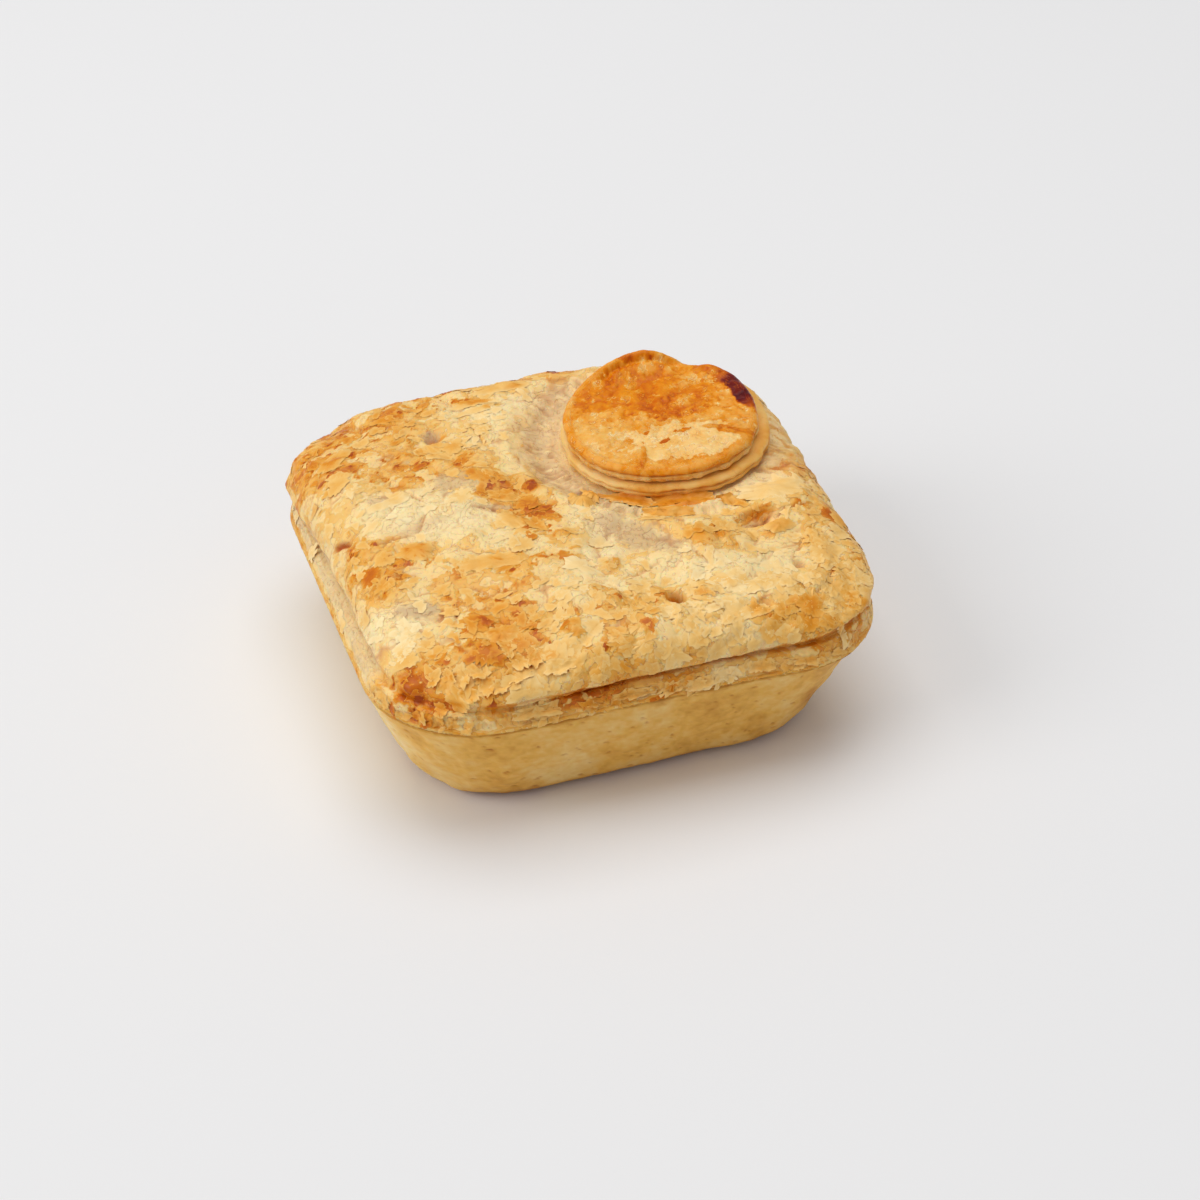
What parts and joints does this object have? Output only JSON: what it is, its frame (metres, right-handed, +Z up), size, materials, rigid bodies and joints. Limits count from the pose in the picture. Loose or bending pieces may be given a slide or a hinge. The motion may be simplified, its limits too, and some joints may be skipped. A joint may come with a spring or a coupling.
{
  "type": "chicken and leek pie",
  "caption": "Square savoury pie with a smooth shortcrust case, a risen flaky puff lid and stacked pastry rounds baked on top.",
  "frame": {"origin": "centre of the case's flat underside", "axes": "+Z up, -Y to the front side, +X to the right side seen from the front; the pastry rounds lie towards +X and +Y"},
  "size_m": [0.1102, 0.1068, 0.0496],
  "materials": {
    "shortcrust": "baked shortcrust, dry and faintly greasy",
    "flaky_puff": "flaky puff pastry, egg washed, golden with pale and browned patches",
    "pale_puff": "pale baked puff pastry",
    "glazed_puff": "egg-glazed puff pastry, golden brown with a burnt spot"
  },
  "bodies": {
    "root": {"base_crust": "shortcrust", "puff_lid": "flaky_puff", "lower_round": "pale_puff", "upper_round": "glazed_puff"}
  },
  "joints": []
}
